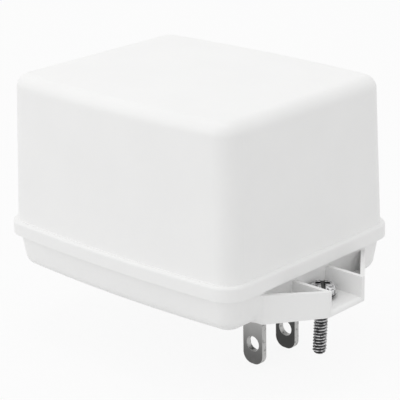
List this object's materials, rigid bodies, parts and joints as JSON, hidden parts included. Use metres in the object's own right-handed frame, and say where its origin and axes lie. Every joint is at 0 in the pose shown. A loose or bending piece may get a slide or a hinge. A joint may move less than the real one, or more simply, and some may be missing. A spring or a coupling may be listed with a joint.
{
  "type": "plug-in transformer",
  "caption": "Boxed mains transformer that plugs straight into a wall outlet by two flat blades, held by a screw through a moulded ear, with two low-voltage screw terminals.",
  "frame": {"origin": "midway between the two blades, on the outlet face that lies against the wall plate", "axes": "+X points along the case to the screw ear, +Y across it from the line blade to the neutral blade, +Z away from the wall; the blades point down"},
  "size_m": [0.0884, 0.0664, 0.0699],
  "materials": {
    "case_plastic": "fine moulded texture, light grey-white",
    "plated_brass": "nickel plated, dull",
    "terminal_brass": "plain",
    "zinc_steel": "zinc plated",
    "core_steel": "varnished sheet steel",
    "bobbin_nylon": "natural nylon",
    "retainer_nylon": "black nylon",
    "copper_wire": "enamelled copper wire in layers",
    "polyester_tape": "yellow tape",
    "fish_paper": "grey pressed paper",
    "foam_rubber": "closed-cell foam",
    "fuse_case": "plain metal case",
    "glass_sleeve": "woven glass sleeve",
    "lead_black": "PVC insulation",
    "lead_white": "PVC insulation",
    "lead_yellow": "PVC insulation"
  },
  "bodies": {
    "root": {"cover": "case_plastic", "base": "case_plastic", "line_blade": "plated_brass", "neutral_blade": "plated_brass", "mounting_screw": "zinc_steel", "blade_retainer": "retainer_nylon", "retainer_screw": "zinc_steel", "e_laminations": "core_steel", "i_laminations": "core_steel", "bobbin": "bobbin_nylon", "primary_winding": "copper_wire", "secondary_winding": "copper_wire", "primary_wrap": "polyester_tape", "secondary_wrap": "polyester_tape", "top_pad": "foam_rubber", "insulating_card": "fish_paper", "core_screws": "zinc_steel", "core_washers": "zinc_steel", "line_lead": "lead_black", "thermal_fuse": "fuse_case", "fuse_sleeve": "glass_sleeve", "fuse_lead": "lead_black", "neutral_lead": "lead_white", "terminal_lead_left": "lead_yellow", "terminal_lead_right": "lead_yellow", "terminal_plate_left": "terminal_brass", "terminal_plate_right": "terminal_brass", "terminal_screw_left": "zinc_steel", "terminal_screw_right": "zinc_steel"}
  },
  "joints": []
}
